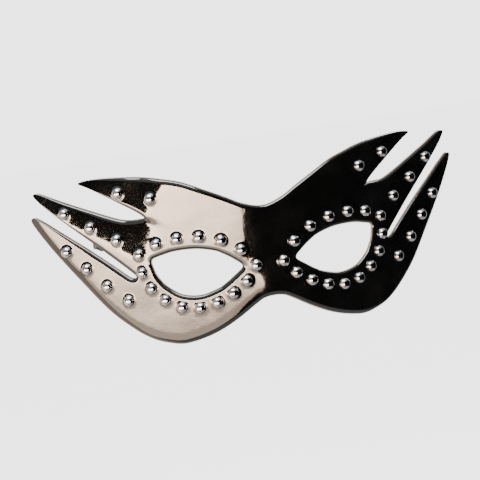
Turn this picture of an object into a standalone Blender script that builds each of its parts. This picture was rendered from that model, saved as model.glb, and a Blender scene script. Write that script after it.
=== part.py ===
import math

import bmesh
import bpy
from mathutils import Matrix, Vector
from mathutils.geometry import interpolate_bezier

# A leather eye mask with dome studs and an elastic strap, as it is worn.
# Metres, +Z up, the front faces -Y. The origin is the inner face of the nose bridge, on the eye line.
# The leather is drawn flat first: X runs out from the middle and Y up from the eye line.

# Leather, and how it wraps the face
leather = 0.0022          # wall
face_radius = 0.1235      # bend of the outer face over nose and eyes
wrap_length = 0.071       # flat length from the middle that bends; the wings go on straight
bend_steps = 9            # flat facets in that length

# Outline of the flat cut
half_span = 0.129         # middle to the lower spike's tip
brow_rise = 0.053         # eye line up to the top of the wings
cheek_drop = 0.037        # eye line down to the lowest point
nose_top = 0.0297         # eye line up to the top edge at the middle
nose_drop = 0.0177        # eye line down to the bottom edge at the middle
tip_round = 0.003         # length cut back at a spike's tip to round it
notch_round = 0.0014      # the same at the closed end of a notch

# Eye openings
eye_start = 0.0135        # middle to the opening's nose end
eye_length = 0.0488
eye_height = 0.0241
eye_round = 0.0025        # length cut back at an opening's two ends
high_notch_land = 0.0184  # leather between an eye opening's top and the upper notch
low_notch_land = 0.009    # leather between an eye opening's outer end and the lower notch

# Studs
stud_diameter = 0.006
stud_rise = 0.0023        # height of the dome over its rim
stud_rim = 0.0004         # straight band below the dome
shank_diameter = 0.0022
stud_back_diameter = 0.0046
stud_back_rise = 0.0009
stud_sides = 10
ring_land = 0.0064        # edge of an eye opening to a stud's middle
upper_gaps = 6            # studs are this many gaps apart over an eye opening
lower_gaps = 9            # and under it

# Strap
strap_width = 0.012
strap_wall = 0.0014
strap_tab = 0.0065        # strap past the stud that holds it, inwards
strap_lead = 0.006        # strap that lies on the leather past the stud, outwards
head_half_width = 0.079
head_depth = 0.196        # nose bridge to the back of the strap
head_widest = 0.105       # nose bridge to where the head is widest
strap_fall = 0.026        # the back of the strap lies this much lower than its ends
strap_turn = 0.012        # handles of the curve that turns the strap back along the head
strap_ease = 0.042

# Clearances
seat_gap = 0.0003         # faces that touch on the real mask
hole_gap = 0.0003         # round a shank

# Fineness of the curves
smooth_steps = 3          # straight pieces between two rows of an outline table
strap_steps = 9           # straight pieces in each of the strap's two bends on a side
tab_steps = 6             # straight pieces round the strap's end
dome_steps = 3            # rings of a stud's dome
corner_steps = 3          # straight pieces round a rounded corner
hole_sides = 8
weld = 0.000001
flat_angle = math.radians(0.3)
sharp_angle = math.radians(35)

# Spike tips and lowest point. Columns: out as a share of half_span, up as a share of brow_rise
upper_tip = (0.764, 0.975)
middle_tip = (0.974, 0.909)
lower_tip = (1.0, 0.664)
lobe_out = 0.391          # the lowest point, as a share of half_span

# Edges between two named points.
# Columns: along and bow to the left, both as shares of the straight way between the points
top_rows = ((0.10, 0.003), (0.20, 0.030), (0.31, 0.057), (0.42, 0.081), (0.52, 0.086),
            (0.64, 0.080), (0.79, 0.058), (0.92, 0.031))
wing_under_rows = ((0.20, -0.017), (0.60, -0.020), (0.90, -0.017))
middle_upper_rows = ((0.10, -0.035), (0.19, -0.053), (0.31, -0.051), (0.52, -0.033),
                     (0.74, -0.012), (0.93, 0.012))
middle_under_rows = ((0.10, 0.018), (0.31, 0.019), (0.55, 0.009), (0.79, 0.0), (0.96, -0.004))
lower_upper_rows = ((0.05, -0.024), (0.20, -0.010), (0.44, 0.011), (0.69, 0.025), (0.93, 0.034))
outer_rows = ((0.07, 0.027), (0.21, 0.060), (0.41, 0.092), (0.60, 0.114), (0.75, 0.106),
              (0.85, 0.085), (0.925, 0.051))
under_rows = ((0.21, 0.040), (0.41, 0.047), (0.61, 0.026), (0.81, -0.011), (0.91, -0.022))

# Lids of an eye opening. Columns: along as a share of eye_length, up as a share of half eye_height
eye_corner = (1.0, 0.72)
upper_lid_rows = ((0.11, 0.37), (0.21, 0.64), (0.31, 0.83), (0.50, 0.99), (0.72, 0.98), (0.86, 0.87))
lower_lid_rows = ((0.96, 0.13), (0.91, -0.21), (0.85, -0.48), (0.70, -0.88), (0.50, -1.0),
                  (0.30, -0.79), (0.20, -0.57), (0.10, -0.29))

# Studs of each spike. Columns: along as a share of the spike from its root to its tip,
# lean as a share of the way from the spike's lower edge to its upper edge.
# The middle spike's first stud also holds the strap
spike_stud_rows = {
    "upper": ((0.00, 0.50), (0.42, 0.37)),
    "middle": ((0.21, 0.50), (0.445, 0.47), (0.68, 0.46)),
    "lower": ((0.00, 0.50), (0.20, 0.50), (0.40, 0.50), (0.60, 0.50)),
}
upper_root = 0.55         # where the upper spike starts, as a share of the top edge
lower_root = 0.675        # where the lower spike starts, as a share of its outer edge from the tip


# Scene
def clear_scene():
    for item in list(bpy.data.objects):
        bpy.data.objects.remove(item, do_unlink=True)


def new_material(name, colour, roughness, metallic):
    material = bpy.data.materials.new(name)
    material.use_nodes = True
    shader = material.node_tree.nodes["Principled BSDF"]
    shader.inputs["Base Color"].default_value = (*colour, 1.0)
    shader.inputs["Roughness"].default_value = roughness
    shader.inputs["Metallic"].default_value = metallic
    return material


def add_object(name, mesh, material, collection):
    item = bpy.data.objects.new(name, mesh)
    if not mesh.materials:
        mesh.materials.append(material)
    collection.objects.link(item)
    return item


# Lines in the flat
def smooth_path(knots, before=None, after=None):
    ends = [before or 2 * knots[0] - knots[1], after or 2 * knots[-1] - knots[-2]]
    padded = [ends[0], *knots, ends[1]]
    path = []
    for last, start, end, following in zip(padded, padded[1:], padded[2:], padded[3:]):
        first_handle = start + (end - last) / 6
        second_handle = end - (following - start) / 6
        path += interpolate_bezier(start, first_handle, second_handle, end, smooth_steps + 1)[:-1]
    return path + [knots[-1]]


def bowed_knots(start, end, rows):
    way = end - start
    left = Vector((-way.y, way.x, 0))
    return [start] + [start + way * along + left * bow for along, bow in rows] + [end]


def across_middle(point):
    return Vector((-point.x, point.y, 0))


def lengths_along(path):
    lengths = [0.0]
    for start, end in zip(path, path[1:]):
        lengths.append(lengths[-1] + (end - start).length)
    return lengths


def along_folds(folds, points, distance):
    for i, fold in enumerate(folds[1:]):
        if distance <= fold or i == len(folds) - 2:
            return points[i].lerp(points[i + 1], (distance - folds[i]) / (fold - folds[i]))


def point_at(path, distance):
    return along_folds(lengths_along(path), path, distance)


def point_at_share(path, share):
    return point_at(path, share * lengths_along(path)[-1])


def trimmed(path, cut):
    lengths = lengths_along(path)
    kept = [point for point, length in zip(path, lengths) if length > cut]
    return [point_at(path, cut)] + kept


def joined(sides, cuts):
    # The sides in a row, with the corner after each rounded by its cut; the last may have none
    sides = [list(side) for side in sides]
    corners = []
    for i, cut in enumerate(cuts):
        following = (i + 1) % len(sides)
        corner = sides[i][-1]
        sides[i] = trimmed(sides[i][::-1], cut)[::-1]
        sides[following] = trimmed(sides[following], cut)
        start, end = sides[i][-1], sides[following][0]
        handles = [start.lerp(corner, 2 / 3), end.lerp(corner, 2 / 3)]
        corners.append(interpolate_bezier(start, *handles, end, corner_steps + 1)[1:-1])
    path = []
    for i, side in enumerate(sides):
        path += side
        if i < len(corners):
            path += corners[i]
    return path


def outline_point(out, up):
    return Vector((out * half_span, up * brow_rise, 0))


def outline_sides():
    eye_end = eye_start + eye_length
    top_middle = Vector((0, nose_top, 0))
    bottom_middle = Vector((0, -nose_drop, 0))
    high_notch = Vector((eye_end, eye_height / 2 + high_notch_land, 0))
    low_notch = Vector((eye_end + low_notch_land, 0, 0))
    lobe = Vector((lobe_out * half_span, -cheek_drop, 0))
    tips = [outline_point(*tip) for tip in (upper_tip, middle_tip, lower_tip)]
    top = bowed_knots(top_middle, tips[0], top_rows)
    bottom = bowed_knots(tips[2], lobe, outer_rows) + bowed_knots(lobe, bottom_middle, under_rows)[1:]
    return {
        "top": smooth_path(top, before=across_middle(top[1])),
        "wing_under": smooth_path(bowed_knots(tips[0], high_notch, wing_under_rows)),
        "middle_upper": smooth_path(bowed_knots(high_notch, tips[1], middle_upper_rows)),
        "middle_under": smooth_path(bowed_knots(tips[1], low_notch, middle_under_rows)),
        "lower_upper": smooth_path(bowed_knots(low_notch, tips[2], lower_upper_rows)),
        "bottom": smooth_path(bottom, after=across_middle(bottom[-2])),
        "outer": smooth_path(bowed_knots(tips[2], lobe, outer_rows)),
    }


def half_outline(sides):
    order = ("top", "wing_under", "middle_upper", "middle_under", "lower_upper", "bottom")
    cuts = (tip_round, notch_round, tip_round, notch_round, tip_round)
    return joined([sides[name] for name in order], cuts)


def eye_lids():
    half_height = eye_height / 2
    nose_end = Vector((eye_start, 0, 0))

    def eye_point(along, up):
        return Vector((eye_start + along * eye_length, up * half_height, 0))

    corner = eye_point(*eye_corner)
    upper = smooth_path([nose_end] + [eye_point(*row) for row in upper_lid_rows] + [corner])
    lower = smooth_path([corner] + [eye_point(*row) for row in lower_lid_rows] + [nose_end])
    return upper, lower


def pushed_left(path, before, after, distance):
    # The path moved sideways to its own left; before and after are the points next to its ends
    moved = []
    for last, point, following in zip([before] + path, path, path[1:] + [after]):
        run = (following - point).normalized() + (point - last).normalized()
        moved.append(point + Vector((-run.y, run.x, 0)).normalized() * distance)
    return moved


def ring_places():
    upper, lower = eye_lids()
    lids = upper[:-1] + lower[:-1]
    pushed = pushed_left(lids, lids[-1], lids[0], ring_land)
    over = pushed[:len(upper)]
    under = pushed[len(upper) - 1:] + [pushed[0]]
    places = [point_at_share(over, i / upper_gaps) for i in range(upper_gaps)]
    return places + [point_at_share(under, i / lower_gaps) for i in range(lower_gaps)]


def spike_places(sides):
    # For each spike its lower and upper edge, both from the root to the tip, with where each starts
    edges = {
        "upper": (sides["wing_under"][::-1], 0.0, sides["top"], upper_root),
        "middle": (sides["middle_under"][::-1], 0.0, sides["middle_upper"], 0.0),
        "lower": (sides["outer"][::-1], 1 - lower_root, sides["lower_upper"], 0.0),
    }
    places = {}
    for spike, (lower, lower_start, upper, upper_start) in edges.items():
        places[spike] = []
        for along, lean in spike_stud_rows[spike]:
            low = point_at_share(lower, lower_start + along * (1 - lower_start))
            high = point_at_share(upper, upper_start + along * (1 - upper_start))
            places[spike].append(low.lerp(high, lean))
    return places


def hole_loop(place):
    # A polygon whose flats clear the shank
    radius = (shank_diameter / 2 + hole_gap) / math.cos(math.pi / hole_sides)
    turns = [2 * math.pi * i / hole_sides for i in range(hole_sides)]
    return [place + radius * Vector((math.cos(turn), math.sin(turn), 0)) for turn in turns]


# Flat plates and how they bend
def flat_plate(loops, wall):
    # The first loop is the outline and the others are holes; the wall lies half above zero
    curve = bpy.data.curves.new("plate", "CURVE")
    curve.dimensions = "2D"
    curve.fill_mode = "BOTH"
    curve.extrude = wall / 2
    for loop in loops:
        spline = curve.splines.new("POLY")
        spline.points.add(len(loop) - 1)
        for point, place in zip(spline.points, loop):
            point.co = (place.x, place.y, 0, 1)
        spline.use_cyclic_u = True
    guide = bpy.data.objects.new("plate", curve)
    bpy.context.scene.collection.objects.link(guide)
    evaluated = guide.evaluated_get(bpy.context.evaluated_depsgraph_get())
    mesh = bpy.data.meshes.new_from_object(evaluated)
    bpy.data.objects.remove(guide, do_unlink=True)
    return mesh


def bend_plate(mesh, wall, folds, outer, inner, height):
    # Cuts the plate across at each fold, then lays its upper face along outer and its lower along inner
    bm = bmesh.new()
    bm.from_mesh(mesh)
    bmesh.ops.remove_doubles(bm, verts=bm.verts, dist=weld)
    for fold in folds[1:-1]:
        geometry = bm.verts[:] + bm.edges[:] + bm.faces[:]
        bmesh.ops.bisect_plane(bm, geom=geometry, dist=weld, plane_co=(fold, 0, 0), plane_no=(1, 0, 0))
    for vert in bm.verts:
        flat = vert.co.copy()
        front = along_folds(folds, outer, flat.x)
        back = along_folds(folds, inner, flat.x)
        plan = back.lerp(front, (flat.z + wall / 2) / wall)
        vert.co = (plan.x, plan.y, height(flat))
    seam = [face for face in bm.faces if all(abs(vert.co.x) < weld for vert in face.verts)]
    bmesh.ops.delete(bm, geom=seam, context="FACES")
    bmesh.ops.dissolve_limit(bm, angle_limit=flat_angle, verts=bm.verts, edges=bm.edges)
    bmesh.ops.triangulate(bm, faces=bm.faces)
    bm.to_mesh(mesh)
    bm.free()
    mesh.shade_smooth()
    mesh.set_sharp_from_angle(angle=sharp_angle)


def mirror_half(item):
    mirror = item.modifiers.new("other_half", "MIRROR")
    mirror.merge_threshold = 0.00005


def bend_angle(out):
    return min(out, wrap_length) / face_radius


def section_point(out, depth):
    # A point of the worn mask seen from above, at a depth behind its outer face
    turn = bend_angle(out)
    straight = max(out - wrap_length, 0)
    x = (face_radius - depth) * math.sin(turn) + straight * math.cos(turn)
    y = face_radius - (face_radius - depth) * math.cos(turn) + straight * math.sin(turn)
    return Vector((x, y - leather, 0))


def body_folds():
    return [wrap_length * i / bend_steps for i in range(bend_steps + 1)] + [half_span]


def section_line(depth):
    return [section_point(fold, depth) for fold in body_folds()]


# Parts
def make_body(sides, places, material, collection):
    upper, lower = eye_lids()
    opening = joined([upper, lower], (eye_round, eye_round))
    mesh = flat_plate([half_outline(sides), opening] + [hole_loop(place) for place in places], leather)
    mesh.name = "mask_body"
    bend_plate(mesh, leather, body_folds(), section_line(0), section_line(leather), lambda flat: flat.y)
    mirror_half(add_object("mask_body", mesh, material, collection))


def stud_profile(grip):
    # Half section from the dome's top round to the back cap, zero at the leather's outer face
    radius = stud_diameter / 2
    shank = shank_diameter / 2
    rim = seat_gap + stud_rim
    profile = []
    for i in range(dome_steps + 1):
        turn = math.pi / 2 * i / dome_steps
        profile.append((radius * math.sin(turn), rim + stud_rise * math.cos(turn)))
    profile += [(radius, seat_gap), (shank, seat_gap)]
    back = -grip - seat_gap
    profile += [(shank, back), (stud_back_diameter / 2, back), (0, back - stud_back_rise)]
    return profile


def stud_mesh(name, grip):
    bm = bmesh.new()
    verts = [bm.verts.new((x, 0, z)) for x, z in stud_profile(grip)]
    for start, end in zip(verts, verts[1:]):
        bm.edges.new((start, end))
    mesh = bpy.data.meshes.new(name)
    bm.to_mesh(mesh)
    bm.free()
    return mesh


def place_stud(name, mesh, place, side, material, collection):
    item = add_object(name, mesh, material, collection)
    turn = bend_angle(place.x) * side
    across = Vector((math.cos(turn), math.sin(turn), 0))
    outward = Vector((math.sin(turn), -math.cos(turn), 0))
    spot = along_folds(body_folds(), section_line(0), place.x)
    turned_out = Matrix((across, (0, 0, 1), outward)).transposed().to_4x4()
    item.matrix_world = Matrix.Translation((spot.x * side, spot.y, place.y)) @ turned_out
    turned = item.modifiers.new("turned", "SCREW")
    turned.steps = stud_sides
    turned.render_steps = stud_sides
    turned.use_merge_vertices = True
    turned.merge_threshold = 0.00001
    return item


def make_studs(rings, spikes, strap_place, material, collection):
    plain = stud_mesh("stud", leather)
    longer = stud_mesh("strap_stud", leather + seat_gap + strap_wall)
    for side, label in ((-1, "left"), (1, "right")):
        for i, place in enumerate(rings):
            place_stud(f"ring_stud_{label}_{i + 1:02}", plain, place, side, material, collection)
        for i, place in enumerate(spikes):
            mesh = longer if place is strap_place else plain
            place_stud(f"spike_stud_{label}_{i + 1}", mesh, place, side, material, collection)


def strap_route(stud_place):
    # The strap's outer face seen from above, from its right end to the middle of the back
    start = section_point(stud_place.x - strap_tab, leather + seat_gap)
    leave = section_point(stud_place.x + strap_lead, leather + seat_gap)
    heading = (leave - start).normalized()
    side = Vector((head_half_width, head_widest, 0))
    handles = [leave + heading * strap_turn, side - Vector((0, strap_ease, 0))]
    route = [start] + interpolate_bezier(leave, *handles, side, strap_steps)
    for i in range(1, strap_steps + 1):
        turn = math.pi / 2 * i / strap_steps
        x = head_half_width * math.cos(turn)
        y = head_widest + (head_depth - head_widest) * math.sin(turn)
        route.append(Vector((x, y, 0)))
    route[-1].x = 0
    return route


def make_strap(stud_place, material, collection):
    route = strap_route(stud_place)
    folds = lengths_along(route)
    inner = pushed_left(route, route[0], across_middle(route[-2]), strap_wall)
    half = strap_width / 2
    tab_turns = [math.pi * (0.5 + i / tab_steps) for i in range(tab_steps + 1)]
    tab = [Vector((half + half * math.cos(turn), half * math.sin(turn), 0)) for turn in tab_turns]
    outline = [Vector((folds[-1], half, 0))] + tab + [Vector((folds[-1], -half, 0))]

    def height(flat):
        fallen = max(flat.x - folds[1], 0) / (folds[-1] - folds[1])
        return stud_place.y + flat.y - strap_fall * (1 - math.cos(math.pi * fallen)) / 2

    mesh = flat_plate([outline, hole_loop(Vector((strap_tab, 0, 0)))], strap_wall)
    mesh.name = "strap"
    bend_plate(mesh, strap_wall, folds, route, inner, height)
    mirror_half(add_object("strap", mesh, material, collection))


def main():
    clear_scene()
    collection = bpy.data.collections.new("eye_mask")
    bpy.context.scene.collection.children.link(collection)
    patent = new_material("patent_leather", (0.012, 0.011, 0.012), 0.12, 0.0)
    chrome = new_material("polished_chrome", (0.62, 0.62, 0.64), 0.12, 1.0)
    elastic = new_material("black_elastic", (0.02, 0.02, 0.021), 0.75, 0.0)
    sides = outline_sides()
    rings = ring_places()
    by_spike = spike_places(sides)
    spikes = [place for places in by_spike.values() for place in places]
    strap_place = by_spike["middle"][0]
    make_body(sides, rings + spikes, patent, collection)
    make_studs(rings, spikes, strap_place, chrome, collection)
    make_strap(strap_place, elastic, collection)


main()
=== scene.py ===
import math

import bmesh
import bpy
from mathutils import Matrix, Vector, noise
from mathutils.geometry import interpolate_bezier
from mathutils.kdtree import KDTree


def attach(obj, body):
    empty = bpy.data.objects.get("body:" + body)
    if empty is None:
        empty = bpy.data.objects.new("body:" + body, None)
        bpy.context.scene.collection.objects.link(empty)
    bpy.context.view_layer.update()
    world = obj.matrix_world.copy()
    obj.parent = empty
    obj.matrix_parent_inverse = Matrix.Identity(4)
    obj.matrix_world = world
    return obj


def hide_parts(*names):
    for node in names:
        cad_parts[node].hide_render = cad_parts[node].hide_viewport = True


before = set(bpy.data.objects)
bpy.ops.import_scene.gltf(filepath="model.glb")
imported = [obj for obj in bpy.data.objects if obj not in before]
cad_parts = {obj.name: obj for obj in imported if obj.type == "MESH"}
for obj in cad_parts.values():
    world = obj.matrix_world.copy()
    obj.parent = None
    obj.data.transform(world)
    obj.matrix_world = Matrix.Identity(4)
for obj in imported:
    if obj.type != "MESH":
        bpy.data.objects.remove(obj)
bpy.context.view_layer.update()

# Metres. Sheets are cut flat first: x out from the middle, y up, z through the wall, zero at mid wall.
# Then every point is laid round the mask's bend or along the strap's route.
middle = Vector((0, 0, 0))
joinDistance = 0.00001
cutDistance = joinDistance / 5


# Shader helpers
class Shade:
    # a value in a node tree: sums and products of it add Math nodes
    def __init__(self, tree, socket=None):
        self.tree = tree
        self.socket = socket

    def node(self, kind, settings=None, inputs=None, output=0):
        made = self.tree.nodes.new(kind)
        for name, value in (settings or {}).items():
            if name == "stops":
                ramp = made.color_ramp.elements
                while len(ramp) < len(value):
                    ramp.new(0.5)
                for stop, (place, shade) in zip(ramp, value):
                    stop.position = place
                    stop.color = (*shade, 1)
            else:
                setattr(made, name, value)
        for name, value in (inputs or {}).items():
            socket = made.inputs[name]
            if isinstance(value, Shade):
                self.tree.links.new(value.socket, socket)
            else:
                socket.default_value = value
        return Shade(self.tree, made.outputs[output])

    def maths(self, operation, *values):
        return self.node("ShaderNodeMath", {"operation": operation}, dict(enumerate(values)))

    def __add__(self, other):
        return self.maths("ADD", self, other)

    def __radd__(self, other):
        return self.maths("ADD", other, self)

    def __mul__(self, other):
        return self.maths("MULTIPLY", self, other)

    def wave(self):
        return self.maths("SINE", self)

    def parts(self):
        # x, y and z of a vector
        return [self.node("ShaderNodeSeparateXYZ", {}, {0: self}, output=i) for i in range(3)]

    def blend(self, first, second):
        # two colours mixed by this value; the mix node's colours are its inputs 6 and 7 and its output 2
        return self.node("ShaderNodeMix", {"data_type": "RGBA"}, {0: self, 6: first, 7: second}, output=2)

    def spread(self, low, high, newLow=0.0, newHigh=1.0):
        # the value moved from one range to another, and held inside it
        return self.node("ShaderNodeMapRange", {}, {0: self, 1: low, 2: high, 3: newLow, 4: newHigh})


def startMaterial(name):
    material = bpy.data.materials.new(name)
    material.use_nodes = True
    tree = material.node_tree
    shader = tree.nodes["Principled BSDF"]
    start = Shade(tree)
    coords = start.node("ShaderNodeTexCoord", output="Object")
    return material, start, shader, coords


def setSockets(shader, values):
    for name, value in values.items():
        if isinstance(value, Shade):
            value.tree.links.new(value.socket, shader.inputs[name])
        else:
            shader.inputs[name].default_value = value


def cloud(start, coords, size, detail=2.0, roughness=0.5):
    # noise whose lumps are about this size, in metres
    return start.node("ShaderNodeTexNoise", {}, {"Vector": coords, "Scale": 1 / size, "Detail": detail,
                                                 "Roughness": roughness})


def stretched(start, coords, scales):
    return start.node("ShaderNodeMapping", {}, {"Vector": coords, "Scale": scales})


def bumped(start, height, distance):
    return start.node("ShaderNodeBump", {}, {"Strength": 1.0, "Distance": distance, "Height": height})


# Materials. A mottling is the size of its lumps in metres, its detail and its roughness. A span is the
# part of a mottling that shows, from nothing to full. Heights are those of bumps, in metres.
patentLook = {
    "black": (0.001, 0.001, 0.001, 1), "bloom": (0.0024, 0.0024, 0.0024, 1),
    "ripple": (0.0065, 3.0, 0.55), "rippleHeight": 0.00009, "peel": (0.0026,), "peelHeight": 0.000024,
    "smudge": (0.018, 4.0, 0.6), "smudgeSpan": (0.42, 0.68), "dust": (0.0009, 1.0), "dustSpan": (0.62, 0.8),
    "roughness": 0.075, "smudged": 0.035, "dusty": 0.03,
    "depth": {"IOR": 1.6, "Coat Weight": 1.0, "Coat IOR": 1.7, "Coat Roughness": 0.03},
}


def makePatent():
    look = patentLook
    material, start, shader, coords = startMaterial("patentLeather")
    ripple = cloud(start, coords, *look["ripple"])
    peel = cloud(start, coords, *look["peel"])
    smudge = cloud(start, coords, *look["smudge"]).spread(*look["smudgeSpan"])
    dust = cloud(start, coords, *look["dust"]).spread(*look["dustSpan"])
    height = ripple * look["rippleHeight"] + peel * look["peelHeight"]
    setSockets(shader, {
        "Base Color": smudge.blend(look["black"], look["bloom"]),
        "Roughness": look["roughness"] + smudge * look["smudged"] + dust * look["dusty"],
        "Normal": bumped(start, height, 1.0), **look["depth"],
    })
    return material


cutLook = {
    "dark": (0.17, 0.105, 0.062, 1), "light": (0.40, 0.29, 0.20, 1), "stained": (0.20, 0.16, 0.13, 1),
    "fibre": (0.0006, 3.0, 0.7), "fibreSpan": (0.3, 0.75),
    "stain": (0.007, 3.0, 0.6), "stainSpan": (0.35, 0.7),
    "height": 0.00008, "roughness": 0.62, "rougher": 0.25, "specular": 0.35,
}


def makeCutEdge():
    look = cutLook
    material, start, shader, coords = startMaterial("rawCutEdge")
    fibres = cloud(start, coords, *look["fibre"])
    stain = cloud(start, coords, *look["stain"]).spread(*look["stainSpan"])
    tan = fibres.spread(*look["fibreSpan"]).blend(look["dark"], look["light"])
    setSockets(shader, {
        "Base Color": stain.blend(tan, look["stained"]),
        "Roughness": look["roughness"] + fibres * look["rougher"],
        "Normal": bumped(start, fibres, look["height"]),
        "Specular IOR Level": look["specular"],
    })
    return material


fleshLook = {
    "dark": (0.020, 0.017, 0.016, 1), "light": (0.058, 0.050, 0.045, 1),
    "brushed": (0.028, 0.024, 0.022, 1), "nap": (0.0007, 3.0, 0.75), "napSpan": (0.3, 0.75),
    "stroke": (0.009, 3.0, 0.6), "strokeSpan": (0.35, 0.7), "strokeScale": (1.0, 1.0, 2.2),
    "height": 0.00022, "roughness": 0.82, "rougher": 0.15, "specular": 0.2,
    "sheen": {"Sheen Weight": 0.25, "Sheen Roughness": 0.5, "Sheen Tint": (0.6, 0.55, 0.5, 1)},
}


def makeFleshSide():
    look = fleshLook
    material, start, shader, coords = startMaterial("suedeFleshSide")
    nap = cloud(start, coords, *look["nap"])
    strokes = cloud(start, stretched(start, coords, look["strokeScale"]), *look["stroke"])
    base = nap.spread(*look["napSpan"]).blend(look["dark"], look["light"])
    setSockets(shader, {
        "Base Color": strokes.spread(*look["strokeSpan"]).blend(base, look["brushed"]),
        "Roughness": look["roughness"] + nap * look["rougher"],
        "Normal": bumped(start, nap, look["height"]),
        "Specular IOR Level": look["specular"], **look["sheen"],
    })
    return material


chromeLook = {
    "bright": (0.78, 0.78, 0.80, 1), "dull": (0.60, 0.59, 0.60, 1),
    "smudge": (0.0035, 4.0, 0.6), "smudgeSpan": (0.4, 0.7),
    "rub": (0.0011, 2.0, 0.6), "rubSpan": (0.55, 0.8), "rubScale": (1.0, 1.0, 6.0),
    "height": 0.000012, "roughness": 0.055, "smudged": 0.07, "rubbed": 0.05,
}


def makeChrome():
    look = chromeLook
    material, start, shader, coords = startMaterial("polishedChrome")
    smudge = cloud(start, coords, *look["smudge"]).spread(*look["smudgeSpan"])
    rubs = cloud(start, stretched(start, coords, look["rubScale"]), *look["rub"])
    rubbed = rubs.spread(*look["rubSpan"])
    setSockets(shader, {
        "Base Color": smudge.blend(look["bright"], look["dull"]),
        "Metallic": 1.0,
        "Roughness": look["roughness"] + smudge * look["smudged"] + rubbed * look["rubbed"],
        "Normal": bumped(start, rubs, look["height"]),
    })
    return material


elasticLook = {
    "dark": (0.004, 0.004, 0.0045, 1), "light": (0.024, 0.024, 0.026, 1), "pick": 0.0008, "end": 0.0005,
    "fuzz": (0.0006, 3.0, 0.7), "weaveShare": 0.7, "fuzzShare": 0.3, "weaveHeight": 0.00012,
    "fuzzHeight": 0.00006, "roughness": 0.72, "rougher": 0.2, "specular": 0.15,
    "sheen": {"Sheen Weight": 0.08, "Sheen Roughness": 0.4},
}


def makeElastic():
    look = elasticLook
    material, start, shader, coords = startMaterial("wovenElastic")
    along, across = start.node("ShaderNodeTexCoord", output="UV").parts()[:2]
    picks = (along * (2 * math.pi / look["pick"])).wave()
    ends = (across * (2 * math.pi / look["end"])).wave()
    weave = (picks * ends) * 0.5 + 0.5
    fuzz = cloud(start, coords, *look["fuzz"])
    woven = weave * look["weaveShare"] + fuzz * look["fuzzShare"]
    setSockets(shader, {
        "Base Color": woven.blend(look["dark"], look["light"]),
        "Roughness": look["roughness"] + fuzz * look["rougher"],
        "Normal": bumped(start, weave * look["weaveHeight"] + fuzz * look["fuzzHeight"], 1.0),
        "Specular IOR Level": look["specular"], **look["sheen"],
    })
    return material


# Lines in the flat
cut = {
    "wall": 0.0022, "faceRadius": 0.1235, "wrapLength": 0.071,
    "halfSpan": 0.129, "browRise": 0.053, "cheekDrop": 0.037, "noseTop": 0.0297, "noseDrop": 0.0177,
    "tipRound": 0.003, "notchRound": 0.0014,
    "eyeStart": 0.0135, "eyeLength": 0.0488, "eyeHeight": 0.0241, "eyeRound": 0.0025,
    "highNotchLand": 0.0184, "lowNotchLand": 0.009,
    "smoothSteps": 6, "cornerSteps": 8, "grid": 0.00137,
}
# tips and lobe: out as a share of halfSpan, up as a share of browRise
tips = {"upper": (0.764, 0.975), "middle": (0.974, 0.909), "lower": (1.0, 0.664)}
lobeOut = 0.391
# along and bow to the left, as shares of the straight way between two named points
bows = {
    "top": ((0.10, 0.003), (0.20, 0.030), (0.31, 0.057), (0.42, 0.081), (0.52, 0.086), (0.64, 0.080),
            (0.79, 0.058), (0.92, 0.031)),
    "wingUnder": ((0.20, -0.017), (0.60, -0.020), (0.90, -0.017)),
    "middleUpper": ((0.10, -0.035), (0.19, -0.053), (0.31, -0.051), (0.52, -0.033), (0.74, -0.012),
                    (0.93, 0.012)),
    "middleUnder": ((0.10, 0.018), (0.31, 0.019), (0.55, 0.009), (0.79, 0.0), (0.96, -0.004)),
    "lowerUpper": ((0.05, -0.024), (0.20, -0.010), (0.44, 0.011), (0.69, 0.025), (0.93, 0.034)),
    "outer": ((0.07, 0.027), (0.21, 0.060), (0.41, 0.092), (0.60, 0.114), (0.75, 0.106), (0.85, 0.085),
              (0.925, 0.051)),
    "under": ((0.21, 0.040), (0.41, 0.047), (0.61, 0.026), (0.81, -0.011), (0.91, -0.022)),
}
# lids: along as a share of eyeLength, up as a share of half eyeHeight
eyeCorner = (1.0, 0.72)
upperLid = ((0.11, 0.37), (0.21, 0.64), (0.31, 0.83), (0.50, 0.99), (0.72, 0.98), (0.86, 0.87))
lowerLid = ((0.96, 0.13), (0.91, -0.21), (0.85, -0.48), (0.70, -0.88), (0.50, -1.0), (0.30, -0.79),
            (0.20, -0.57), (0.10, -0.29))


def smoothPath(knots, before=None, after=None):
    ends = [before or 2 * knots[0] - knots[1], after or 2 * knots[-1] - knots[-2]]
    padded = [ends[0], *knots, ends[1]]
    path = []
    for last, start, end, following in zip(padded, padded[1:], padded[2:], padded[3:]):
        handles = (start + (end - last) / 6, end - (following - start) / 6)
        path += interpolate_bezier(start, *handles, end, cut["smoothSteps"] + 1)[:-1]
    return path + [knots[-1]]


def bowedKnots(start, end, rows):
    way = end - start
    left = Vector((-way.y, way.x, 0))
    return [start] + [start + way * along + left * bow for along, bow in rows] + [end]


def acrossMiddle(point):
    return Vector((-point.x, point.y, 0))


def lengthsAlong(path):
    lengths = [0.0]
    for start, end in zip(path, path[1:]):
        lengths.append(lengths[-1] + (end - start).length)
    return lengths


def pointAt(path, lengths, distance):
    for i, length in enumerate(lengths[1:]):
        if distance <= length or i == len(lengths) - 2:
            return path[i].lerp(path[i + 1], (distance - lengths[i]) / (length - lengths[i]))


def pointAtShare(path, share):
    lengths = lengthsAlong(path)
    return pointAt(path, lengths, share * lengths[-1])


def trimmed(path, distance):
    lengths = lengthsAlong(path)
    return [pointAt(path, lengths, distance)] + [p for p, length in zip(path, lengths) if length > distance]


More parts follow.
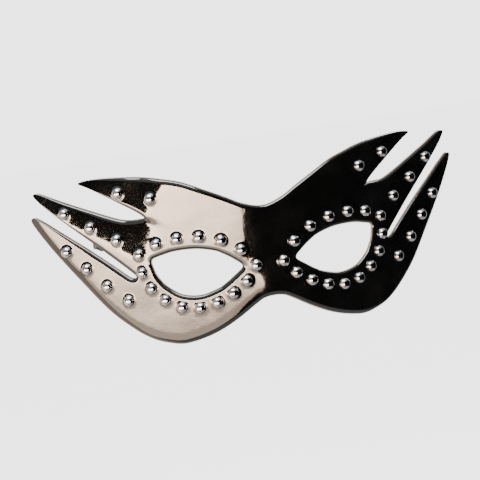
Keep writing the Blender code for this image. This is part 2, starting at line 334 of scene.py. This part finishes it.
def joined(sides, cuts):
    # the sides in a row, each with the corner after it rounded by its cut
    sides = [list(side) for side in sides]
    corners = []
    for i, size in enumerate(cuts):
        following = (i + 1) % len(sides)
        corner = sides[i][-1]
        sides[i] = trimmed(sides[i][::-1], size)[::-1]
        sides[following] = trimmed(sides[following], size)
        start, end = sides[i][-1], sides[following][0]
        handles = (start.lerp(corner, 2 / 3), end.lerp(corner, 2 / 3))
        corners.append(interpolate_bezier(start, *handles, end, cut["cornerSteps"] + 1)[1:-1])
    path = []
    for i, side in enumerate(sides):
        path += side + (corners[i] if i < len(corners) else [])
    return path


def outlineSides():
    eyeEnd = cut["eyeStart"] + cut["eyeLength"]
    topMiddle = Vector((0, cut["noseTop"], 0))
    bottomMiddle = Vector((0, -cut["noseDrop"], 0))
    highNotch = Vector((eyeEnd, cut["eyeHeight"] / 2 + cut["highNotchLand"], 0))
    lowNotch = Vector((eyeEnd + cut["lowNotchLand"], 0, 0))
    lobe = Vector((lobeOut * cut["halfSpan"], -cut["cheekDrop"], 0))
    upper, mid, lower = [Vector((tips[name][0] * cut["halfSpan"], tips[name][1] * cut["browRise"], 0))
                         for name in ("upper", "middle", "lower")]
    top = bowedKnots(topMiddle, upper, bows["top"])
    outer = bowedKnots(lower, lobe, bows["outer"])
    bottom = outer + bowedKnots(lobe, bottomMiddle, bows["under"])[1:]
    return {
        "top": smoothPath(top, before=acrossMiddle(top[1])),
        "wingUnder": smoothPath(bowedKnots(upper, highNotch, bows["wingUnder"])),
        "middleUpper": smoothPath(bowedKnots(highNotch, mid, bows["middleUpper"])),
        "middleUnder": smoothPath(bowedKnots(mid, lowNotch, bows["middleUnder"])),
        "lowerUpper": smoothPath(bowedKnots(lowNotch, lower, bows["lowerUpper"])),
        "bottom": smoothPath(bottom, after=acrossMiddle(bottom[-2])),
        "outer": smoothPath(outer),
    }


def eyePoint(along, up):
    return Vector((cut["eyeStart"] + along * cut["eyeLength"], up * cut["eyeHeight"] / 2, 0))


def eyeLids():
    noseEnd, corner = eyePoint(0, 0), eyePoint(*eyeCorner)
    upper = smoothPath([noseEnd] + [eyePoint(*row) for row in upperLid] + [corner])
    lower = smoothPath([corner] + [eyePoint(*row) for row in lowerLid] + [noseEnd])
    return upper, lower


def leftOf(path, before, after):
    # the unit directions to the left of a path
    lefts = []
    for last, point, following in zip([before] + path, path, path[1:] + [after]):
        run = (following - point).normalized() + (point - last).normalized()
        lefts.append(Vector((-run.y, run.x, 0)).normalized())
    return lefts


# Where the studs are
stud = {
    "diameter": 0.006, "rise": 0.0023, "rim": 0.0004, "shank": 0.0022, "backDiameter": 0.0046,
    "backRise": 0.0009, "ringLand": 0.0064, "upperGaps": 6, "lowerGaps": 9, "seatGap": 0.0003,
    "backGap": 0.0001, "hole": 0.0028, "holeSides": 16, "sides": 40, "domeRings": 10,
    "rolledEdge": 0.00035, "rollSteps": 3,
    # how far up the leather's swelling the rim rests
    "restShare": 0.6,
    # the back cap's section, as shares of its radius and its rise
    "cap": ((0.96, 0.0), (1.0, 0.17), (0.90, 0.47), (0.60, 0.80), (0.30, 1.0), (0.0, 1.0)),
}
# along as a share of the spike from its root to its tip, lean from its lower edge to its upper edge
spikeStuds = {
    "upper": ((0.00, 0.50), (0.42, 0.37)),
    "middle": ((0.21, 0.50), (0.445, 0.47), (0.68, 0.46)),
    "lower": ((0.00, 0.50), (0.20, 0.50), (0.40, 0.50), (0.60, 0.50)),
}
# where the upper and the lower spike start, as shares of the top and the outer edge
upperRoot, lowerRoot = 0.55, 0.675


def ringPlaces():
    upper, lower = eyeLids()
    lids = upper[:-1] + lower[:-1]
    pushed = [p + left * stud["ringLand"] for p, left in zip(lids, leftOf(lids, lids[-1], lids[0]))]
    over, under = pushed[:len(upper)], pushed[len(upper) - 1:] + [pushed[0]]
    places = [pointAtShare(over, i / stud["upperGaps"]) for i in range(stud["upperGaps"])]
    return places + [pointAtShare(under, i / stud["lowerGaps"]) for i in range(stud["lowerGaps"])]


def spikePlaces(sides):
    edges = {
        "upper": (sides["wingUnder"][::-1], 0.0, sides["top"], upperRoot),
        "middle": (sides["middleUnder"][::-1], 0.0, sides["middleUpper"], 0.0),
        "lower": (sides["outer"][::-1], 1 - lowerRoot, sides["lowerUpper"], 0.0),
    }
    places = []
    for spike, (low, lowStart, high, highStart) in edges.items():
        for along, lean in spikeStuds[spike]:
            below = pointAtShare(low, lowStart + along * (1 - lowStart))
            above = pointAtShare(high, highStart + along * (1 - highStart))
            places.append(below.lerp(above, lean))
    return places


# How the worn leather stands off its plain bend. A line is (out, up, slope), drawn in the flat
stance = {
    "wingRoot": (0.0494, 0.0484, -1.39), "wingFold": (0.0623, 0.030, 0.584), "wingCorner": 0.003,
    "wingLean": 0.085, "wingBend": 0.0012,
    "highGap": (0.0623, 0.0305, 0.45), "spikeFold": (0.0678, 0.0085, 0.60), "spikeRoot": (0.061, 0.026),
    "rootTurn": math.radians(8), "rootWidth": 0.0024, "spikeLean": 0.085, "spikeBend": 0.001,
    "gapWidth": 0.0004, "noseBow": 0.0007, "noseWidth": 0.009, "noseDepth": 0.003,
    "waveHeight": 0.0001, "waveLength": 0.021, "curl": 0.001, "curlReach": 0.0058,
    # smaller waves on the waves: their share of the height, how many to a wave, and where they start
    "smallWave": 0.4, "smallPitch": 2.1, "smallShift": (3, 7, 0),
}
# so many widths from a fold the bend is over, and exp stays in range
farFromStep = 40


def held(value, low, high):
    return max(low, min(high, value))


def softStep(value, width):
    return 1 / (1 + math.exp(-held(value / width, -farFromStep, farFromStep)))


def softRamp(value, width):
    return width * math.log1p(math.exp(held(value / width, -farFromStep, farFromStep)))


def lineAt(name, out):
    start, up, slope = stance[name]
    return up + slope * (out - start)


def standOff(across, up):
    # the wing and the middle spike lean back, each above a fold, and the nose arch bows out
    out = abs(across)
    wingFold = lineAt("wingFold", out)
    fold = wingFold + softRamp(lineAt("wingRoot", out) - wingFold, stance["wingCorner"])
    wing = stance["wingLean"] * softRamp(up - fold, stance["wingBend"])
    rootOut, rootUp = stance["spikeRoot"]
    root = (out - rootOut) * math.cos(stance["rootTurn"]) + (up - rootUp) * math.sin(stance["rootTurn"])
    belowGap = softStep(lineAt("highGap", out) - up, stance["gapWidth"])
    onSpike = belowGap * softStep(root, stance["rootWidth"])
    spike = stance["spikeLean"] * onSpike * softRamp(up - lineAt("spikeFold", out), stance["spikeBend"])
    nose = math.exp(-(out / stance["noseWidth"]) ** 2) * softStep(-up / stance["noseDepth"] - 1, 1)
    spot = Vector((across, up, 0)) / stance["waveLength"]
    smallSpot = spot * stance["smallPitch"] + Vector(stance["smallShift"])
    waves = noise.noise(spot) + stance["smallWave"] * noise.noise(smallSpot)
    return stance["noseBow"] * nose + stance["waveHeight"] * waves - wing - spike


def bendTurn(out):
    return min(out, cut["wrapLength"]) / cut["faceRadius"]


def sectionPoint(out, depth):
    # the worn mask seen from above, at a depth behind its outer face
    turn = bendTurn(out)
    straight = max(out - cut["wrapLength"], 0)
    radius = cut["faceRadius"]
    x = (radius - depth) * math.sin(turn) + straight * math.cos(turn)
    y = radius - (radius - depth) * math.cos(turn) + straight * math.sin(turn)
    return Vector((x, y - cut["wall"], 0))


def wornPoint(across, up, depth):
    spot = sectionPoint(abs(across), depth - standOff(across, up))
    return Vector((math.copysign(spot.x, across), spot.y, up))


# Sheets cut to a line
border = {
    "pitch": 0.0002, "gap": 0.0004, "share": 0.36, "sweeps": 3,
    # the room of a point with nothing ahead, and the least distance that counts as ahead
    "free": 1.0, "least": 1e-9,
}


def roomFor(path, inward):
    # how far each point can move inward before it meets the path's other points
    rooms = []
    for point, way in zip(path, inward):
        room = border["free"]
        for other in path:
            apart = other - point
            ahead = apart.dot(way)
            if ahead > border["least"]:
                room = min(room, apart.length_squared / (2 * ahead))
        rooms.append(room)
    for sweep in range(border["sweeps"]):
        rooms = [min(rooms[max(i - 1, 0):i + 2]) for i in range(len(rooms))]
    return rooms


def closeSpots(path):
    # points close together along a path
    spots = []
    for start, end in zip(path, path[1:]):
        steps = math.ceil((end - start).length / border["pitch"])
        spots += [start.lerp(end, i / steps) for i in range(steps)]
    return spots


def treeOf(spots):
    tree = KDTree(len(spots))
    for i, spot in enumerate(spots):
        tree.insert((spot.x, spot.y, 0), i)
    tree.balance()
    return tree


def roomBeside(point, way, place, others, tree):
    # how far a point of a stud's hole can move before it nears an edge's rows or another stud
    reach, deepest = 0.0, holeRows[-1][0]
    while reach < deepest:
        spot = point + way * (reach + border["pitch"])
        own = (spot - place).length + border["gap"]
        if tree.find(spot)[2] < border["gap"] or any((spot - other).length < own for other in others):
            break
        reach += border["pitch"] / 2
    return min(reach, deepest)


def startSheet():
    bm = bmesh.new()
    bm.verts.layers.int.new("spot")
    bm.faces.layers.int.new("filled")
    return bm


def edgeRows(bm, path, inward, rows, closed=True, shares=None):
    # draws the line out through rows of (inset, height, slot); returns the edges of its first and last row
    spot = bm.verts.layers.int["spot"]
    shares = shares or [1.0] * len(path)

    def place(vert, row):
        i = vert[spot]
        flat = path[i] + inward[i] * row[0] * shares[i]
        vert.co = (flat.x, flat.y, row[1])

    verts = [bm.verts.new((i, 0, 0)) for i in range(len(path))]
    for i, vert in enumerate(verts):
        vert[spot] = i
        place(vert, rows[0])
    pairs = list(zip(verts, verts[1:])) + ([(verts[-1], verts[0])] if closed else [])
    first = edges = [bm.edges.new(pair) for pair in pairs]
    lastVerts = verts
    for row in rows[1:]:
        made = bmesh.ops.extrude_edge_only(bm, edges=edges)["geom"]
        lastVerts = [item for item in made if isinstance(item, bmesh.types.BMVert)]
        fresh = set(lastVerts)
        edges = [item for item in made if isinstance(item, bmesh.types.BMEdge)]
        edges = [edge for edge in edges if fresh.issuperset(edge.verts)]
        for vert in lastVerts:
            place(vert, row)
        for edge in edges:
            for face in edge.link_faces:
                face.material_index = row[2]
    if not closed:
        ends = [next(vert for vert in lastVerts if vert[spot] == i) for i in (0, len(path) - 1)]
        first = first + [bm.edges.new((verts[0], verts[-1]))]
        edges = edges + [bm.edges.new(ends)]
    return first, edges


def fillSide(bm, edges, slot):
    filled = bm.faces.layers.int["filled"]
    made = bmesh.ops.triangle_fill(bm, use_beauty=True, use_dissolve=False, edges=edges)["geom"]
    for face in made:
        if isinstance(face, bmesh.types.BMFace):
            face.material_index = slot
            face[filled] = 1


def gridCut(bm, steps):
    # cuts across at even steps, then drops the slanted edges of the first filling
    filled = bm.faces.layers.int["filled"]
    for axis, step in enumerate(steps):
        low = min(vert.co[axis] for vert in bm.verts) + joinDistance
        high = max(vert.co[axis] for vert in bm.verts) - joinDistance
        normal = Vector((1 - axis, axis, 0))
        for i in range(math.ceil(low / step), math.floor(high / step) + 1):
            geometry = bm.verts[:] + bm.edges[:] + bm.faces[:]
            bmesh.ops.bisect_plane(bm, geom=geometry, dist=cutDistance, plane_co=normal * i * step,
                                   plane_no=normal)
    slanted = []
    for edge in bm.edges:
        run = edge.verts[1].co - edge.verts[0].co
        if min(abs(run.x), abs(run.y)) > cutDistance and len(edge.link_faces) == 2:
            if all(face[filled] for face in edge.link_faces):
                slanted.append(edge)
    bmesh.ops.dissolve_edges(bm, edges=slanted, use_verts=True, use_face_split=False)


def closeSheet(bm):
    # faces of more than four sides are cut up while flat; then the other half, one skin, faces outwards
    many = [face for face in bm.faces if len(face.verts) > 4]
    bmesh.ops.triangulate(bm, faces=many)
    geometry = bm.verts[:] + bm.edges[:] + bm.faces[:]
    bmesh.ops.mirror(bm, geom=geometry, matrix=Matrix.Identity(4), merge_dist=joinDistance, axis="X")
    bmesh.ops.remove_doubles(bm, verts=bm.verts, dist=cutDistance)
    bmesh.ops.recalc_face_normals(bm, faces=bm.faces)


def finishPiece(bm, name, materials, nodes):
    mesh = bpy.data.meshes.new(name)
    for face in bm.faces:
        face.smooth = True
    bm.to_mesh(mesh)
    bm.free()
    for material in materials:
        mesh.materials.append(material)
    piece = bpy.data.objects.new(name, mesh)
    bpy.context.scene.collection.objects.link(piece)
    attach(piece, "root")
    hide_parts(*nodes)
    return piece


# Leather: rows of (inset, height, slot) from the flesh side, over the cut edge, to the patent face
half = cut["wall"] / 2
leatherRows = (
    (0.00090, -half, 2), (0.00025, -half, 2), (0.00005, -0.00098, 1), (0.0, -0.00080, 1),
    (0.00028, 0.0, 1), (0.00036, 0.00022, 0), (0.00053, 0.00046, 0), (0.00078, 0.00066, 0),
    (0.00112, 0.00083, 0), (0.00155, 0.00097, 0), (0.00205, 0.00106, 0), (0.00250, half, 0),
    (0.00280, half, 0),
)
# the leather swells a little round the rim of each stud
swell = 0.00018
holeRows = (
    (0.0, -half, 2), (0.0, half + swell, 1), (0.00155, half + swell, 0), (0.00190, half + swell * 0.82, 0),
    (0.00220, half + swell * 0.45, 0), (0.00250, half + swell * 0.13, 0), (0.00285, half, 0),
)


def holeLoop(place):
    turns = [-2 * math.pi * i / stud["holeSides"] for i in range(stud["holeSides"])]
    return [place + stud["hole"] / 2 * Vector((math.cos(turn), math.sin(turn), 0)) for turn in turns]


def makeLeather(places, sides, materials):
    bm = startSheet()
    order = ("top", "wingUnder", "middleUpper", "middleUnder", "lowerUpper", "bottom")
    rounds = [cut[name] for name in ("tipRound", "notchRound", "tipRound", "notchRound", "tipRound")]
    outline = joined([sides[name] for name in order], rounds)
    inward = [-left for left in leftOf(outline, acrossMiddle(outline[1]), acrossMiddle(outline[-2]))]
    deepest = leatherRows[-1][0]
    shares = [min(1.0, border["share"] * room / deepest) for room in roomFor(outline, inward)]
    backs, fronts = edgeRows(bm, outline, inward, leatherRows, closed=False, shares=shares)
    opening = joined(eyeLids(), (cut["eyeRound"], cut["eyeRound"]))
    back, front = edgeRows(bm, opening, leftOf(opening, opening[-1], opening[0]), leatherRows)
    backs, fronts = backs + back, fronts + front
    nearEdges = treeOf([spot for edge in fronts for spot in closeSpots([vert.co for vert in edge.verts])])
    deepest = holeRows[-1][0]
    for place in places:
        loop = holeLoop(place)
        inward = leftOf(loop, loop[-1], loop[0])
        others = [other for other in places if other is not place]
        rooms = [roomBeside(point, way, place, others, nearEdges) for point, way in zip(loop, inward)]
        shares = [room / deepest for room in rooms]
        back, front = edgeRows(bm, loop, inward, holeRows, shares=shares)
        backs, fronts = backs + back, fronts + front
    fillSide(bm, fronts, 0)
    fillSide(bm, backs, 2)
    gridCut(bm, (cut["grid"], cut["grid"]))
    closeSheet(bm)
    lowEdge = treeOf(closeSpots(sides["bottom"]))
    for vert in bm.verts:
        apart = lowEdge.find((abs(vert.co.x), vert.co.y, 0))[2]
        curl = stance["curl"] * max(0.0, 1 - apart / stance["curlReach"]) ** 2
        vert.co = wornPoint(vert.co.x, vert.co.y, half - vert.co.z + curl)
    return finishPiece(bm, "leatherMask", materials, ["mask_body"])


# Studs
def studProfile(grip):
    # half section from the dome's top round to the back cap; zero is the leather's outer face
    radius, edge = stud["diameter"] / 2, stud["rolledEdge"]
    base = swell * stud["restShare"]
    rim = stud["seatGap"] + stud["rim"]
    profile = []
    for i in range(stud["domeRings"] + 1):
        turn = math.pi / 2 * i / stud["domeRings"]
        profile.append((radius * math.sin(turn), rim + stud["rise"] * math.cos(turn)))
    profile.append((radius, base + edge))
    for i in range(1, stud["rollSteps"] + 1):
        turn = math.pi / 2 * i / stud["rollSteps"]
        profile.append((radius - edge * (1 - math.cos(turn)), base + edge * (1 - math.sin(turn))))
    back = -grip - stud["backGap"]
    profile += [(stud["shank"] / 2, base), (stud["shank"] / 2, back)]
    for share, rise in stud["cap"]:
        profile.append((stud["backDiameter"] / 2 * share, back - stud["backRise"] * rise))
    return profile


def makeStud(name, node, place, side, grip, material):
    bm = bmesh.new()
    verts = [bm.verts.new((x, 0, z)) for x, z in studProfile(grip)]
    edges = [bm.edges.new(pair) for pair in zip(verts, verts[1:])]
    bmesh.ops.spin(bm, geom=verts + edges, cent=middle, axis=(0, 0, 1), angle=2 * math.pi,
                   steps=stud["sides"], use_merge=True)
    bmesh.ops.remove_doubles(bm, verts=bm.verts, dist=joinDistance)
    bmesh.ops.recalc_face_normals(bm, faces=bm.faces)
    turn = bendTurn(place.x) * side
    across = Vector((math.cos(turn), math.sin(turn), 0))
    outward = Vector((math.sin(turn), -math.cos(turn), 0))
    spot = wornPoint(place.x * side, place.y, 0)
    turned = Matrix((across, (0, 0, 1), outward)).transposed().to_4x4()
    bmesh.ops.transform(bm, matrix=Matrix.Translation(spot) @ turned, verts=bm.verts)
    return finishPiece(bm, name, [material], [node])


def makeStuds(rings, spikes, strapPlace, material):
    count = 0
    for side, label in ((-1, "left"), (1, "right")):
        rows = [(f"ring_stud_{label}_{i + 1:02}", place) for i, place in enumerate(rings)]
        rows += [(f"spike_stud_{label}_{i + 1}", place) for i, place in enumerate(spikes)]
        for node, place in rows:
            grip = cut["wall"] + (strap["wall"] + strap["seatGap"] if place is strapPlace else 0)
            kind, number = node.split("_")[0], node.split("_")[-1]
            makeStud(f"{kind}Stud{label.capitalize()}{number}", node, place, side, grip, material)
            count += 1
    print("studs:", count)


# Strap
strap = {
    "width": 0.012, "wall": 0.0014, "tab": 0.0065, "lead": 0.006, "headHalfWidth": 0.079,
    "headDepth": 0.196, "headWidest": 0.105, "fall": 0.026, "turn": 0.012, "ease": 0.042,
    "seatGap": 0.0003, "bendSteps": 40, "tabSteps": 16, "hole": 0.0026,
    "acrossGrid": 0.0003, "alongGrid": 0.003, "ribPitch": 0.0015, "ribHeight": 0.0001,
    "selvedge": 0.0009, "ribFade": 0.0004, "settle": 0.012,
    # rows over an edge from its face to its middle: inset, share of half the wall
    "edge": ((0.0006, 1.0), (0.00022, 1.0), (0.00006, 0.7), (0.0, 0.25)),
    "holeEdge": ((0.0004, 1.0), (0.0, 1.0)),
}


def strapRoute(place):
    # the strap's outer face seen from above, from its right end to the middle of the back
    seat = cut["wall"] + strap["seatGap"]
    start, leave = sectionPoint(place.x - strap["tab"], seat), sectionPoint(place.x + strap["lead"], seat)
    heading = (leave - start).normalized()
    side = Vector((strap["headHalfWidth"], strap["headWidest"], 0))
    handles = [leave + heading * strap["turn"], side - Vector((0, strap["ease"], 0))]
    steps = strap["bendSteps"]
    route = [start] + interpolate_bezier(leave, *handles, side, steps)
    for i in range(1, steps + 1):
        turn = math.pi / 2 * i / steps
        y = strap["headWidest"] + (strap["headDepth"] - strap["headWidest"]) * math.sin(turn)
        route.append(Vector((strap["headHalfWidth"] * math.cos(turn), y, 0)))
    route[-1].x = 0
    return route


def overEdge(rows, thick):
    # the rows from the lower face over the edge to the upper face
    lower = [(inset, -share * thick, 0) for inset, share in rows]
    return lower + [(inset, -height, slot) for inset, height, slot in lower[::-1]]


def layStrap(bm, place, route):
    # from the flat to its way round the head
    lengths = lengthsAlong(route)
    total, lead = lengths[-1], lengths[1]
    lefts = leftOf(route, 2 * route[0] - route[1], acrossMiddle(route[-2]))
    wide, thick = strap["width"] / 2, strap["wall"] / 2
    for vert in bm.verts:
        flat = vert.co.copy()
        distance = total - abs(flat.x)
        inside = held((wide - strap["selvedge"] - abs(flat.y)) / strap["ribFade"], 0.0, 1.0)
        rib = strap["ribHeight"] * inside * (math.cos(2 * math.pi * flat.y / strap["ribPitch"]) - 1) / 2
        depth = thick - flat.z
        depth += rib if flat.z < 0 else -rib
        spot = pointAt(route, lengths, distance)
        way = pointAt(lefts, lengths, distance).normalized()
        fallen = max(distance - lead, 0) / (total - lead)
        up = place.y + flat.y - strap["fall"] * (1 - math.cos(math.pi * fallen)) / 2
        # against the leather it follows how the leather stands
        beside = 1 - held((distance - lead) / strap["settle"], 0.0, 1.0)
        lean = standOff(place.x - strap["tab"] + distance, up) * beside
        plan = spot + way * (depth - lean)
        vert.co = (math.copysign(plan.x, flat.x) if abs(flat.x) > joinDistance else 0, plan.y, up)
    bmesh.ops.recalc_face_normals(bm, faces=bm.faces)


def makeStrap(place, materials):
    route = strapRoute(place)
    total = lengthsAlong(route)[-1]
    print("strap length flat, mm:", round(2000 * total, 1))
    wide, thick = strap["width"] / 2, strap["wall"] / 2
    # flat, the middle of the back is at zero and the end at total
    turns = [math.pi * (0.5 - i / strap["tabSteps"]) for i in range(strap["tabSteps"] + 1)]
    tab = [Vector((total - wide + wide * math.cos(t), wide * math.sin(t), 0)) for t in turns]
    outline = [Vector((0, wide, 0))] + tab + [Vector((0, -wide, 0))]
    inward = [-left for left in leftOf(outline, acrossMiddle(outline[1]), acrossMiddle(outline[-2]))]
    bm = startSheet()
    backs, fronts = edgeRows(bm, outline, inward, overEdge(strap["edge"], thick), closed=False)
    hole = [Vector((total - strap["tab"], 0, 0)) + corner * strap["hole"] / stud["hole"]
            for corner in holeLoop(middle)]
    holeWays = leftOf(hole, hole[-1], hole[0])
    back, front = edgeRows(bm, hole, holeWays, overEdge(strap["holeEdge"], thick))
    fillSide(bm, fronts + front, 0)
    fillSide(bm, backs + back, 0)
    gridCut(bm, (strap["alongGrid"], strap["acrossGrid"]))
    closeSheet(bm)
    uv = bm.loops.layers.uv.new("flat")
    for face in bm.faces:
        for loop in face.loops:
            loop[uv].uv = (loop.vert.co.x, loop.vert.co.y)
    layStrap(bm, place, route)
    return finishPiece(bm, "elasticStrap", materials, ["strap"])


# Studio
studio = {
    "azimuth": -9.0, "elevation": 8.5, "roll": 8.0, "distance": 1.1, "frameWidth": 0.250,
    "aim": (-0.0105, 0.020, 0.0105), "clip": 0.01,
}


def direction(azimuth, elevation):
    a, e = math.radians(azimuth), math.radians(elevation)
    return Vector((math.sin(a) * math.cos(e), -math.cos(a) * math.cos(e), math.sin(e)))


def facing(spot, target, roll=0.0):
    # an object's matrix at spot, looking at target
    back = (spot - target).normalized()
    right = Vector((0, 0, 1)).cross(back).normalized()
    up = back.cross(right)
    turn = math.radians(roll)
    rolledRight = right * math.cos(turn) - up * math.sin(turn)
    rolledUp = right * math.sin(turn) + up * math.cos(turn)
    turned = Matrix((rolledRight, rolledUp, back)).transposed().to_4x4()
    return Matrix.Translation(spot) @ turned


def makeCamera():
    data = bpy.data.cameras.new("camera")
    data.lens = data.sensor_width * studio["distance"] / studio["frameWidth"]
    data.clip_start = studio["clip"]
    camera = bpy.data.objects.new("camera", data)
    bpy.context.scene.collection.objects.link(camera)
    aim = Vector(studio["aim"])
    spot = aim + direction(studio["azimuth"], studio["elevation"]) * studio["distance"]
    camera.matrix_world = facing(spot, aim, studio["roll"])
    bpy.context.scene.camera = camera


# Columns: azimuth and elevation seen from the mask, distance, width, height, watts, colour
lamps = {
    "sideSoftbox": (-37.5, -19.6, 1.6, 2.16, 0.98, 200.0, (1.0, 0.74, 0.55)),
    "topSoftbox": (-25.0, 64.0, 1.5, 1.2, 0.8, 30.0, (1.0, 1.0, 1.0)),
    "backSoftbox": (165.0, 28.0, 1.7, 1.2, 0.8, 18.0, (1.0, 1.0, 1.0)),
}
# the side softbox is full at high and dimmest below low, both shares of its height
fade = {"low": 0.68, "high": 1.0, "dimmest": 0.10}


def fadeDown(data):
    data.use_nodes = True
    emission = data.node_tree.nodes["Emission"]
    start = Shade(data.node_tree)
    up = start.node("ShaderNodeNewGeometry", output="Parametric").parts()[1]
    setSockets(emission, {"Strength": up.spread(fade["low"], fade["high"], fade["dimmest"], 1.0)})


def makeLamps():
    for name, (azimuth, elevation, distance, width, height, watts, colour) in lamps.items():
        data = bpy.data.lights.new(name, "AREA")
        data.shape = "RECTANGLE"
        data.size, data.size_y = width, height
        data.energy = watts
        data.color = colour
        if name == "sideSoftbox":
            fadeDown(data)
        lamp = bpy.data.objects.new(name, data)
        bpy.context.scene.collection.objects.link(lamp)
        spot = direction(azimuth, elevation) * distance
        # the side softbox stands upright, so that its edges cross the leather level and plumb
        target = Vector((0, 0, spot.z)) if name == "sideSoftbox" else middle
        lamp.matrix_world = facing(spot, target)
        lamp.visible_camera = False


# What the camera sees, what fills the shadows, and what the leather and the studs mirror: grey all round,
# warm low on the left, with a dark flag over the right side and a low dark one across the left
around = {
    "seen": (3.4, 3.38, 3.36, 1), "fill": (1.0, 1.01, 1.03, 1), "mirrored": (0.42, 0.42, 0.43, 1),
    "low": (1.25, 1.0, 0.8, 1), "flag": (0.004, 0.004, 0.004, 1),
    # azimuths, then elevations: a flag fades in over the first two and out over the last two
    "rightFlag": ((-8, -6, 106, 124), (-46, -34, 30, 44)),
    "leftFlag": ((-100, -90, -6, -4), (-6, -4, 9, 16)),
    # the warm part: azimuths, then elevations, where it starts and where it is full
    "lowStart": ((-68, -74), (20, 0)),
}


def makeWorld():
    world = bpy.data.worlds.new("studio")
    bpy.context.scene.world = world
    world.use_nodes = True
    tree = world.node_tree
    start = Shade(tree)
    x, y, z = start.node("ShaderNodeTexCoord", output="Generated").parts()
    azimuth = start.maths("ARCTAN2", x, y * -1.0) * (180 / math.pi)
    elevation = start.maths("ARCSINE", z) * (180 / math.pi)

    def flag(name):
        (left, leftFull, rightFull, right), (bottom, bottomFull, topFull, top) = around[name]
        return (azimuth.spread(left, leftFull) * azimuth.spread(right, rightFull)
                * elevation.spread(bottom, bottomFull) * elevation.spread(top, topFull))

    flags = start.maths("MAXIMUM", flag("rightFlag"), flag("leftFlag"))
    low = azimuth.spread(*around["lowStart"][0]) * elevation.spread(*around["lowStart"][1])
    mirrored = flags.blend(low.blend(around["mirrored"], around["low"]), around["flag"])
    glossy = start.node("ShaderNodeLightPath", output="Is Glossy Ray")
    seen = start.node("ShaderNodeLightPath", output="Is Camera Ray")
    lit = glossy.blend(around["fill"], mirrored)
    shade = seen.blend(lit, around["seen"])
    tree.links.new(shade.socket, tree.nodes["Background"].inputs["Color"])


floorLook = {
    "height": -0.55, "size": 6.0, "glow": 2.45, "roughness": 0.9, "mottle": (0.4, 3.0),
    "dark": (0.74, 0.74, 0.74, 1), "light": (0.78, 0.78, 0.78, 1),
}


def makeFloor():
    look = floorLook
    bm = bmesh.new()
    bmesh.ops.create_grid(bm, x_segments=1, y_segments=1, size=look["size"])
    bmesh.ops.translate(bm, verts=bm.verts, vec=(0, 0, look["height"]))
    mesh = bpy.data.meshes.new("floor")
    bm.to_mesh(mesh)
    bm.free()
    material, start, shader, coords = startMaterial("paleFloor")
    mottle = cloud(start, coords, *look["mottle"])
    setSockets(shader, {
        "Base Color": mottle.blend(look["dark"], look["light"]), "Roughness": look["roughness"],
        "Emission Color": (1, 1, 1, 1), "Emission Strength": look["glow"],
    })
    mesh.materials.append(material)
    floor = bpy.data.objects.new("floor", mesh)
    bpy.context.scene.collection.objects.link(floor)
    floor.visible_glossy = False


sides = outlineSides()
rings, spikes = ringPlaces(), spikePlaces(sides)
strapPlace = spikes[len(spikeStuds["upper"])]
makeCamera()
makeLamps()
makeWorld()
makeFloor()
print("studio ready")
makeLeather(rings + spikes, sides, [makePatent(), makeCutEdge(), makeFleshSide()])
print("leather ready")
makeStuds(rings, spikes, strapPlace, makeChrome())
makeStrap(strapPlace, [makeElastic()])
print("strap ready")
